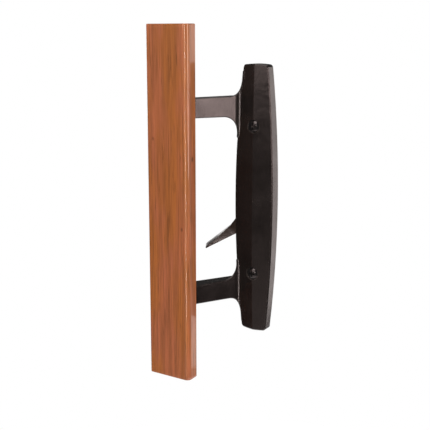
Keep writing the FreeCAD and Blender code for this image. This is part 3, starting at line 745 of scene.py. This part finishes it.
def make_bar(look):
    """The bar as rings along its length, with eased ends and faces a little off flat."""
    low, high = Vector(grip_low), Vector(grip_high)
    face_step = 2.5 * MM
    rows = 92
    long_wave, short_wave, short_share = 28.0, 160.0, 0.4
    inner_low = low.to_2d() + Vector((look.wave, look.wave))
    inner_high = high.to_2d() - Vector((look.wave, look.wave))
    radii = (look.arris, look.round_arris, look.arris, look.arris)
    section = resampled(bar_section(inner_low, inner_high, radii), face_step)
    middle = (inner_low + inner_high) / 2
    half = (inner_high - inner_low) / 2
    ease = look.end_arris
    end_turns = (0.0, math.pi / 6, math.pi / 3)
    levels = [(low.z + ease * (1 - math.cos(turn)), ease * (1 - math.sin(turn)))
              for turn in end_turns]
    first, last = low.z + ease, high.z - ease
    levels += [(place_between(first, last, row / rows), 0.0) for row in range(rows + 1)]
    levels += [(low.z + high.z - level, inset) for level, inset in reversed(levels[:len(end_turns)])]
    work = bmesh.new()
    rings = []
    for level, inset in levels:
        ring = []
        for point in section:
            offset = point - middle
            eased = Vector((offset.x * (1 - inset / half.x), offset.y * (1 - inset / half.y)))
            place = Vector((middle.x + eased.x, middle.y + eased.y, level))
            swell = noise.noise(place * long_wave) + short_share * noise.noise(place * short_wave)
            push = offset.normalized() * look.wave * max(-1.0, min(1.0, swell))
            place += Vector((push.x, push.y, 0.0))
            ring.append(work.verts.new(place))
        rings.append(ring)
    for lower, upper in zip(rings, rings[1:]):
        join_rings(work, lower, upper)
    work.faces.new(rings[0])
    work.faces.new(rings[-1])
    return from_bmesh("grip_bar", work)


def pilot_places():
    """Centre, radius and front end of each blind hole, from the grip screws' box."""
    low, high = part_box("grip_screws")
    x = (low[0] + high[0]) / 2
    head = (high[0] - low[0]) / 2
    radius = 1.95 * MM
    clearance = 0.05 * MM
    return [(x, z, radius, low[1] - clearance) for z in (low[2] + head, high[2] - head)]


def pilot_cutter():
    """Cylinders in the bar's back where the grip screws go in."""
    work = bmesh.new()
    back = grip_high[1] + 2 * MM
    turn = Matrix.Rotation(math.pi / 2, 4, "X")
    for x, z, radius, front in pilot_places():
        shift = Matrix.Translation((x, (front + back) / 2, z))
        bmesh.ops.create_cone(work, cap_ends=True, segments=32, radius1=radius, radius2=radius,
                              depth=back - front, matrix=shift @ turn)
    return from_bmesh("pilot_cutter", work)


class HANDLE_OT_grip(PieceOperator, bpy.types.Operator):
    """Make the wooden bar, planed, sanded, stained and lacquered"""

    bl_idname = "handle.grip"
    bl_label = "Wooden grip"

    def execute(self, context):
        look = settings("grip_look")
        piece = make_bar(look)
        boolean_cut(piece, pilot_cutter())
        finish_piece(piece, material("stained_wood", stained_wood, look), GRIP_CREASE)
        dress(piece, "base", "grip_wood", "wood_grip")
        return {"FINISHED"}


def blade_line(work, normal, across, distances):
    """The blade's middle, sideways and in depth, as two smooth curves of the distance."""
    rows = []
    reach = 0.05 * MM
    for distance in distances:
        near = [vertex.co for vertex in work.verts
                if abs(vertex.co.dot(normal) - distance) < reach]
        sides = [place.x * across.x + place.z * across.y for place in near]
        depths = [place.y for place in near]
        if near:
            rows.append((distance, (min(sides) + max(sides)) / 2, (min(depths) + max(depths)) / 2))
    along, sides, depths = zip(*rows)
    return numpy.polyfit(along, sides, 2), numpy.polyfit(along, depths, 2)


def twist_blade(piece, turn, thinning, pointing):
    """Turn and thin the blade about its own length, more and more towards the tip."""
    low = Vector(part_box("latch_lever")[0])
    tip = Vector((low.x, low.z))
    along = tip.normalized()
    across = Vector((along.y, -along.x))
    reach = tip.length
    normal = Vector((along.x, 0.0, along.y))
    start, last_cut = 0.5 * reach, 0.96 * reach
    cuts = 25
    early_turn = 1.5
    stations = [place_between(start, last_cut, step / cuts) for step in range(cuts + 1)]
    work = bmesh.new()
    work.from_mesh(piece.data)
    for distance in stations:
        parts = work.verts[:] + work.edges[:] + work.faces[:]
        bmesh.ops.bisect_plane(work, geom=parts, plane_co=normal * distance, plane_no=normal)
    side_line, depth_line = blade_line(work, normal, across, stations)
    for vertex in work.verts:
        distance = vertex.co.dot(normal)
        if distance <= start:
            continue
        share = min(1.0, (distance - start) / (reach - start))
        eased = share * share * (3 - 2 * share)
        angle = turn * min(1.0, early_turn * eased)
        side = vertex.co.x * across.x + vertex.co.z * across.y
        middle_side = numpy.polyval(side_line, distance)
        middle_depth = numpy.polyval(depth_line, distance)
        sideways = (side - middle_side) * (1 - pointing * eased)
        inwards = (vertex.co.y - middle_depth) * (1 - thinning * eased)
        new_side = middle_side + sideways * math.cos(angle) - inwards * math.sin(angle)
        vertex.co.x += across.x * (new_side - side)
        vertex.co.z += across.y * (new_side - side)
        vertex.co.y = middle_depth + sideways * math.sin(angle) + inwards * math.cos(angle)
    bmesh.ops.remove_doubles(work, verts=work.verts[:], dist=2 * MERGE)
    work.to_mesh(piece.data)
    work.free()


class HANDLE_OT_lever(PieceOperator, bpy.types.Operator):
    """Soften the latch lever's edges and give it satin paint"""

    bl_idname = "handle.lever"
    bl_label = "Latch lever"

    def execute(self, context):
        look = settings("casting_look")
        piece = merged_copy("latch_lever", "thumb_lever")
        soften(piece, look.lever_edge)
        twist_blade(piece, look.twist, look.thinning, look.pointing)
        finish_piece(piece, painted_lever(), CAST_CREASE)
        dress(piece, "lever", "lever_paint", "latch_lever")
        return {"FINISHED"}


def thread_tree():
    """A shared tree that winds a thread round a screw's body at each of two places."""
    name = "wound_thread"
    if name in bpy.data.node_groups:
        return bpy.data.node_groups[name]
    tree = bpy.data.node_groups.new(name, "GeometryNodeTree")
    floats = "NodeSocketFloat"
    sockets = [("Bodies", "NodeSocketGeometry"), ("Radius", floats), ("Tip radius", floats),
               ("Pitch", floats), ("Length", floats), ("Ridge", floats),
               ("First place", "NodeSocketVector"), ("Step", "NodeSocketVector"),
               ("Turn", "NodeSocketVector"), ("Finish", "NodeSocketMaterial")]
    for label, kind in sockets:
        tree.interface.new_socket(label, in_out="INPUT", socket_type=kind)
    tree.interface.new_socket("Screws", in_out="OUTPUT", socket_type="NodeSocketGeometry")
    source = tree.nodes.new("NodeGroupInput").outputs
    target = tree.nodes.new("NodeGroupOutput")
    turns = maths(tree, "DIVIDE", source["Length"], source["Pitch"])
    spiral = node(tree, "GeometryNodeCurveSpiral",
                  {"Resolution": 28, "Rotations": turns, "Start Radius": source["Radius"],
                   "End Radius": source["Tip radius"], "Height": source["Length"]})
    ridge = node(tree, "GeometryNodeCurvePrimitiveCircle",
                 {"Resolution": 4, "Radius": source["Ridge"]}, mode="RADIUS")
    sweep = node(tree, "GeometryNodeCurveToMesh",
                 {"Curve": spiral.outputs[0], "Profile Curve": ridge.outputs[0], "Fill Caps": True})
    points = node(tree, "GeometryNodeMeshLine",
                  {"Count": 2, "Start Location": source["First place"], "Offset": source["Step"]})
    heading = node(tree, "FunctionNodeEulerToRotation", {"Euler": source["Turn"]})
    placed = node(tree, "GeometryNodeInstanceOnPoints",
                  {"Points": points.outputs[0], "Instance": sweep.outputs[0],
                   "Rotation": heading.outputs[0]})
    real = node(tree, "GeometryNodeRealizeInstances", {"Geometry": placed.outputs[0]})
    joined = tree.nodes.new("GeometryNodeJoinGeometry")
    tree.links.new(real.outputs[0], joined.inputs[0])
    tree.links.new(source["Bodies"], joined.inputs[0])
    painted_mesh = node(tree, "GeometryNodeSetMaterial",
                        {"Geometry": joined.outputs[0], "Material": source["Finish"]})
    tree.links.new(painted_mesh.outputs[0], target.inputs[0])
    return tree


def wind_thread(piece, values):
    """Run the thread tree on a piece, and keep the result as the piece's mesh."""
    tree = thread_tree()
    modifier = piece.modifiers.new("thread", "NODES")
    modifier.node_group = tree
    for item in tree.interface.items_tree:
        if item.in_out == "INPUT" and item.name in values:
            modifier[item.identifier] = values[item.name]
    return bake_modifiers(piece)


def slim_shanks(piece, start, stop, radius, x, levels):
    """Bring the shanks between two depths down to the thread's root."""
    for vertex in piece.data.vertices:
        if start <= vertex.co.y <= stop:
            z = min(levels, key=lambda level: abs(level - vertex.co.z))
            offset = Vector((vertex.co.x - x, vertex.co.z - z))
            if offset.length > radius:
                offset *= radius / offset.length
                vertex.co.x, vertex.co.z = x + offset.x, z + offset.y
    return piece


class HANDLE_OT_mounting_screws(PieceOperator, bpy.types.Operator):
    """Make the two raised countersunk screws with their recesses and cut threads"""

    bl_idname = "handle.mounting_screws"
    bl_label = "Mounting screws"

    def execute(self, context):
        look = settings("screw_look")
        head_edge = 0.12 * MM
        shank_start, thread_start, bare_end = 0.3 * MM, 1.2 * MM, 1.6 * MM
        ridge = 0.32 * look.pitch
        outer = look.thread_radius
        head = (screw_high[0] - screw_low[0]) / 2
        levels = (screw_low[2] + head, screw_high[2] - head)
        reach = screw_high[1]
        piece = merged_copy("mounting_screws", "head_screws")
        soften(piece, head_edge, SMALL_EDGE_ANGLE)
        slim_shanks(piece, shank_start, reach, outer - ridge, 0.0, levels)
        smooth_faces(piece, SMALL_CREASE)
        wind_thread(piece, {
            "Radius": outer - 1.02 * ridge, "Tip radius": outer - 1.3 * ridge, "Pitch": look.pitch,
            "Length": reach - thread_start - bare_end, "Ridge": ridge,
            "First place": (0.0, thread_start, levels[0]),
            "Step": (0.0, 0.0, levels[1] - levels[0]),
            "Turn": (-math.pi / 2, 0.0, 0.0), "Finish": painted_screw()})
        dress(piece, "base", "screw_paint", "mounting_screws")
        return {"FINISHED"}


class HANDLE_OT_rear_screws(PieceOperator, bpy.types.Operator):
    """Cut driver recesses in the grip screws and in the strap's screws"""

    bl_idname = "handle.rear_screws"
    bl_label = "Rear screws"

    def execute(self, context):
        edge = 0.1 * MM
        pairs = (("grip_screws", "grip_screw_pair"), ("retaining_screws", "strap_screw_pair"))
        for name, label in pairs:
            low, high = (Vector(corner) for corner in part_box(name))
            head = (high.x - low.x) / 2
            x = (low.x + high.x) / 2
            span, slit, depth = head * 1.15, head * 0.3, head * 0.42
            piece = merged_copy(name, label)
            places = [(x, high.y, z) for z in (low.z + head, high.z - head)]
            boolean_cut(piece, recess_cutter(places, span, slit, depth, -1))
            soften(piece, edge, SMALL_EDGE_ANGLE)
            finish_piece(piece, plated_steel(), SMALL_CREASE)
            dress(piece, "base", "plated_steel", name)
        return {"FINISHED"}


class HANDLE_OT_inner_parts(PieceOperator, bpy.types.Operator):
    """Give the plated steel and nylon pieces behind the casting their finishes"""

    bl_idname = "handle.inner_parts"
    bl_label = "Inner parts"

    def execute(self, context):
        edge = 0.08 * MM
        steel = plated_steel()
        finishes = [
            ("drive_tailpiece", "lever", "plated_steel", steel),
            ("tailpiece_pin", "lever", "plated_steel", steel),
            ("spring_washer", "base", "plated_steel", steel),
            ("retaining_plate", "base", "plated_steel", steel),
            ("thrust_washer", "base", "washer_plastic", material("nylon", nylon)),
        ]
        for name, body, slot, finish in finishes:
            piece = merged_copy(name, f"{name}_finished")
            soften(piece, edge, SMALL_EDGE_ANGLE)
            finish_piece(piece, finish, SMALL_CREASE)
            dress(piece, body, slot, name)
        return {"FINISHED"}


def area_light(name, place, target, size, power, colour):
    """A soft rectangular lamp at a place, facing a target."""
    lamp = bpy.data.lights.new(name, "AREA")
    lamp.shape = "RECTANGLE"
    lamp.size, lamp.size_y = size
    lamp.energy = power
    lamp.color = colour
    holder = bpy.data.objects.new(name, lamp)
    bpy.context.scene.collection.objects.link(holder)
    holder.location = place
    holder.rotation_euler = (Vector(target) - Vector(place)).to_track_quat("-Z", "Y").to_euler()
    return holder


def make_camera(look):
    """The camera on its place, set as the scene's own."""
    camera = bpy.data.cameras.new("camera")
    camera.lens = look.lens
    camera.sensor_width = 36.0
    camera.shift_y = look.rise
    camera.clip_start = 0.01
    camera.clip_end = 50.0
    holder = bpy.data.objects.new("camera", camera)
    bpy.context.scene.collection.objects.link(holder)
    holder.location = look.camera_place
    holder.rotation_euler = (math.pi / 2 - look.tilt, 0.0, look.turn)
    bpy.context.scene.camera = holder
    return holder


def make_floor(look):
    """A pale round floor below the set."""
    work = bmesh.new()
    bmesh.ops.create_circle(work, cap_ends=True, segments=96, radius=look.floor_radius)
    level = solid_box[0][2] - look.floor_drop
    bmesh.ops.translate(work, verts=work.verts[:], vec=(0.0, 0.0, level))
    floor = from_bmesh("floor", work)
    made = bpy.data.materials.new("pale_floor")
    made.use_nodes = True
    shader = made.node_tree.nodes["Principled BSDF"]
    shader.inputs["Base Color"].default_value = (*look.floor, 1.0)
    shader.inputs["Roughness"].default_value = 0.9
    floor.data.materials.append(made)
    return floor


def make_studio(look):
    """Even light from all round, weaker in reflections and white behind the set."""
    world = bpy.data.worlds.new("studio")
    bpy.context.scene.world = world
    world.use_nodes = True
    tree = world.node_tree
    back = tree.nodes["Background"]
    back.inputs["Color"].default_value = (*WHITE, 1.0)
    path = tree.nodes.new("ShaderNodeLightPath")
    dim = maths(tree, "MULTIPLY", path.outputs["Is Glossy Ray"], look.gloss_dim)
    level = maths(tree, "SUBTRACT", look.ambient, dim)
    seen = maths(tree, "MULTIPLY", path.outputs["Is Camera Ray"], 1.0 - look.ambient)
    tree.links.new(maths(tree, "ADD", level, seen), back.inputs["Strength"])
    return world


class HANDLE_OT_stage(PieceOperator, bpy.types.Operator):
    """Set up the camera, the pale floor and the soft lights"""

    bl_idname = "handle.stage"
    bl_label = "Stage"

    def execute(self, context):
        look = settings("stage_look")
        make_camera(look)
        make_floor(look)
        make_studio(look)
        for lamp in LAMPS:
            area_light(*lamp)
        context.scene.view_settings.view_transform = "Standard"
        return {"FINISHED"}


class HANDLE_PT_panel(bpy.types.Panel):
    """Operators and settings of the handle set"""

    bl_idname = "HANDLE_PT_panel"
    bl_label = "Handle Set"
    bl_space_type = "VIEW_3D"
    bl_region_type = "UI"
    bl_category = "Handle Set"

    def draw(self, context):
        column = self.layout.column()
        for operator in operators:
            column.operator(operator.bl_idname)
        for name, group in groups:
            column.separator()
            look = getattr(context.scene, name)
            for field in group.__annotations__:
                column.prop(look, field)


groups = [
    ("grip_look", GripSettings),
    ("casting_look", CastingSettings),
    ("screw_look", ScrewSettings),
    ("stage_look", StageSettings),
]
operators = [
    HANDLE_OT_casting,
    HANDLE_OT_grip,
    HANDLE_OT_lever,
    HANDLE_OT_mounting_screws,
    HANDLE_OT_rear_screws,
    HANDLE_OT_inner_parts,
    HANDLE_OT_stage,
]


def register():
    """Add the settings, the operators and the panel."""
    for name, group in groups:
        bpy.utils.register_class(group)
        setattr(bpy.types.Scene, name, PointerProperty(type=group))
    for operator in operators:
        bpy.utils.register_class(operator)
    bpy.utils.register_class(HANDLE_PT_panel)


def unregister():
    """Take the panel, the operators and the settings away again."""
    bpy.utils.unregister_class(HANDLE_PT_panel)
    for operator in reversed(operators):
        bpy.utils.unregister_class(operator)
    for name, group in reversed(groups):
        delattr(bpy.types.Scene, name)
        bpy.utils.unregister_class(group)


def main():
    """Make every piece and the stage."""
    register()
    for operator in operators:
        category, name = operator.bl_idname.split(".")
        getattr(getattr(bpy.ops, category), name)()


if __name__ == "__main__":
    main()
